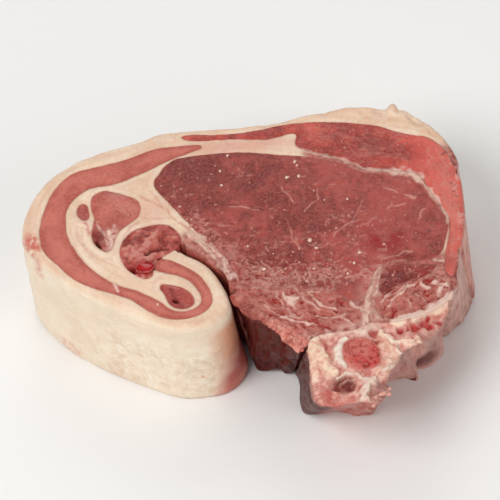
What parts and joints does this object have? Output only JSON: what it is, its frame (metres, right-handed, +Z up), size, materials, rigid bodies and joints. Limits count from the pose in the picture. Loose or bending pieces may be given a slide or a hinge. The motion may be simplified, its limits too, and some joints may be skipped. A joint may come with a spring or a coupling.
{
  "type": "raw goat loin chop",
  "caption": "Thick raw loin chop with its eye muscle, cap of back fat, half backbone and the fatty flap rolled in at one side, lying on a cut face.",
  "frame": {"origin": "under the middle of the chop, on the surface it lies on", "axes": "+X from the rolled flap to the backbone's side, +Y from the backbone to the back fat, +Z up out of the upper cut face"},
  "size_m": [0.0944, 0.0808, 0.026],
  "materials": {
    "fat": "soft ivory back and flap fat, waxy, faintly moist, stained pink in places",
    "loin_eye": "moist raw lean meat, dusky red, fine grain with small pale flecks",
    "cap_muscle": "moist raw lean meat, salmon red with pale streaks",
    "flap_muscle": "moist raw flap meat, pale rose red, striped along the sheet",
    "small_muscle": "moist raw meat of the small flap muscles, rose red with pale threads",
    "back_muscle": "moist raw meat beside the backbone, dusky red",
    "sinewy_muscle": "coarse raw meat streaked with white sinew",
    "bone": "sawn bone and gristle, cream and pink, semi-matt",
    "marrow": "wet red spongy bone"
  },
  "bodies": {
    "root": {"loin_eye": "loin_eye", "cap_muscle": "cap_muscle", "flap_muscle": "flap_muscle", "oval_muscle": "small_muscle", "strip_muscle": "small_muscle", "skirt_muscle": "small_muscle", "roll_core_muscle": "small_muscle", "multifidus_muscle": "back_muscle", "spinal_muscle": "sinewy_muscle", "under_muscle": "sinewy_muscle", "marrow": "marrow", "backbone": "bone", "fat": "fat"}
  },
  "joints": []
}
